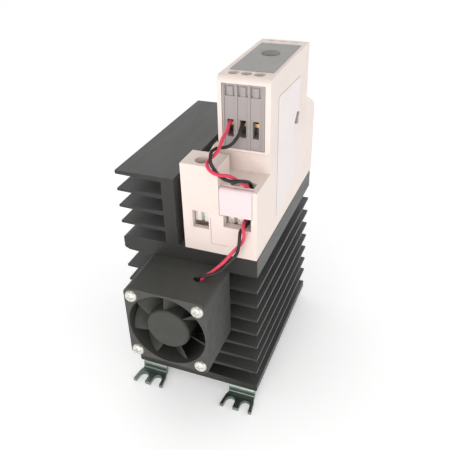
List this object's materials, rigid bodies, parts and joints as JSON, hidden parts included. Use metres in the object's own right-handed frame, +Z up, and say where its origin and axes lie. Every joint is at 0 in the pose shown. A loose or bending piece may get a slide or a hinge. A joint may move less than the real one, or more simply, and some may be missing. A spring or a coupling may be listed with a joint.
{
  "type": "solid state relay",
  "caption": "Modular solid state relay on a finned heat sink with a cooling fan, box clamp terminals, a hinged terminal cover and slotted mounting feet.",
  "frame": {"origin": "middle of the whole part's box, at the undersides of the feet", "axes": "+Z up from the feet to the control terminals, +Y from the fan end to the rear end, +X to the right seen from the fan end"},
  "size_m": [0.0686, 0.134, 0.1677],
  "materials": {
    "black_anodised": "black anodised, satin",
    "cream_plastic": "fine moulded texture",
    "cover_plastic": "fine moulded texture",
    "grey_plastic": "matt moulded",
    "fan_plastic": "glass filled moulding",
    "impeller_plastic": "semi gloss",
    "plated_steel": "dark zinc plated",
    "bright_steel": "nickel plated",
    "tinned_copper": "tin plated copper",
    "brass": "plain",
    "copper": "plain copper",
    "label_grey": "matt film",
    "disc_grey": "smooth",
    "label_white": "plain film",
    "board_green": "solder mask",
    "ceramic": "unglazed",
    "red_vinyl": "wire insulation",
    "black_vinyl": "wire insulation",
    "blue_epoxy": "dipped coating",
    "led_green": "clear tinted",
    "thermal_pad": "soft pad"
  },
  "bodies": {
    "chassis": {"heat_sink": "black_anodised", "front_left_foot": "plated_steel", "front_left_foot_screw": "bright_steel", "front_right_foot": "plated_steel", "front_right_foot_screw": "bright_steel", "rear_left_foot": "plated_steel", "rear_left_foot_screw": "bright_steel", "rear_right_foot": "plated_steel", "rear_right_foot_screw": "bright_steel", "fan_adapter": "fan_plastic", "adapter_screw_lower": "bright_steel", "adapter_screw_upper": "bright_steel", "fan_frame": "fan_plastic", "fan_bearing": "brass", "fan_stator_core": "plated_steel", "fan_coils": "copper", "fan_circuit_board": "board_green", "fan_screw_lower_left": "bright_steel", "fan_screw_upper_left": "bright_steel", "fan_screw_lower_right": "bright_steel", "fan_screw_upper_right": "bright_steel", "thermal_pad": "thermal_pad", "metal_base": "copper", "base_screw_front": "bright_steel", "base_screw_rear": "bright_steel", "ceramic_substrate": "ceramic", "thyristor_pair": "grey_plastic", "power_busbar_left": "tinned_copper", "power_busbar_right": "tinned_copper", "lower_housing": "cream_plastic", "upper_housing": "cream_plastic", "control_terminal_block": "grey_plastic", "control_contact_left": "tinned_copper", "control_contact_middle": "tinned_copper", "control_contact_right": "tinned_copper", "control_board": "board_green", "optocoupler": "fan_plastic", "varistor": "blue_epoxy", "snubber_capacitor": "blue_epoxy", "snubber_resistor": "ceramic", "status_led": "led_green", "top_label": "label_grey", "status_disc": "disc_grey", "side_label": "label_white", "red_fan_lead": "red_vinyl", "black_fan_lead": "black_vinyl"},
    "rotor": {"fan_impeller": "impeller_plastic", "fan_shaft": "bright_steel", "fan_magnet_ring": "plated_steel"},
    "cover": {"terminal_cover": "cover_plastic"},
    "power_screw_left": {"power_screw_left": "bright_steel"},
    "power_screw_right": {"power_screw_right": "bright_steel"},
    "power_clamp_left": {"power_clamp_left": "bright_steel"},
    "power_clamp_right": {"power_clamp_right": "bright_steel"},
    "control_screw_left": {"control_screw_left": "bright_steel"},
    "control_screw_middle": {"control_screw_middle": "bright_steel"},
    "control_screw_right": {"control_screw_right": "bright_steel"},
    "control_clamp_left": {"control_clamp_left": "brass"},
    "control_clamp_middle": {"control_clamp_middle": "brass"},
    "control_clamp_right": {"control_clamp_right": "brass"}
  },
  "joints": [
    {"name": "fan_spin", "type": "hinge", "parent": "chassis", "child": "rotor", "pos_m": [0.0005, -0.055, 0.063], "axis": [0, 1, 0], "continuous": true},
    {"name": "terminal_cover_swing", "type": "hinge", "parent": "chassis", "child": "cover", "pos_m": [0.024, -0.0355, 0.1231], "axis": [-1, 0, 0], "range_deg": [0, 75]},
    {"name": "power_screw_left_turn", "type": "hinge", "parent": "chassis", "child": "power_screw_left", "pos_m": [0.0073, -0.0312, 0.1207], "axis": [0, 0, 1], "range_deg": [0, 2880]},
    {"name": "power_clamp_left_slide", "type": "slide", "parent": "chassis", "child": "power_clamp_left", "axis": [0, 0, -1], "range_m": [0, 0.0056]},
    {"name": "power_screw_right_turn", "type": "hinge", "parent": "chassis", "child": "power_screw_right", "pos_m": [0.0226, -0.0298, 0.1207], "axis": [0, 0, 1], "range_deg": [0, 2880]},
    {"name": "power_clamp_right_slide", "type": "slide", "parent": "chassis", "child": "power_clamp_right", "axis": [0, 0, -1], "range_m": [0, 0.0056]},
    {"name": "control_screw_left_turn", "type": "hinge", "parent": "chassis", "child": "control_screw_left", "pos_m": [0.0156, -0.0141, 0.1593], "axis": [0, 0, 1], "range_deg": [0, 2880]},
    {"name": "control_clamp_left_slide", "type": "slide", "parent": "chassis", "child": "control_clamp_left", "axis": [0, 0, -1], "range_m": [0, 0.0036]},
    {"name": "control_screw_middle_turn", "type": "hinge", "parent": "chassis", "child": "control_screw_middle", "pos_m": [0.0213, -0.0141, 0.1593], "axis": [0, 0, 1], "range_deg": [0, 2880]},
    {"name": "control_clamp_middle_slide", "type": "slide", "parent": "chassis", "child": "control_clamp_middle", "axis": [0, 0, -1], "range_m": [0, 0.0036]},
    {"name": "control_screw_right_turn", "type": "hinge", "parent": "chassis", "child": "control_screw_right", "pos_m": [0.027, -0.0141, 0.1593], "axis": [0, 0, 1], "range_deg": [0, 2880]},
    {"name": "control_clamp_right_slide", "type": "slide", "parent": "chassis", "child": "control_clamp_right", "axis": [0, 0, -1], "range_m": [0, 0.0036]}
  ],
  "couplings": [
    {"joint": "power_screw_left_turn", "follows": "power_clamp_left_slide", "rad_per_m": 8975},
    {"joint": "power_screw_right_turn", "follows": "power_clamp_right_slide", "rad_per_m": 8975},
    {"joint": "control_screw_left_turn", "follows": "control_clamp_left_slide", "rad_per_m": 13960},
    {"joint": "control_screw_middle_turn", "follows": "control_clamp_middle_slide", "rad_per_m": 13960},
    {"joint": "control_screw_right_turn", "follows": "control_clamp_right_slide", "rad_per_m": 13960}
  ]
}
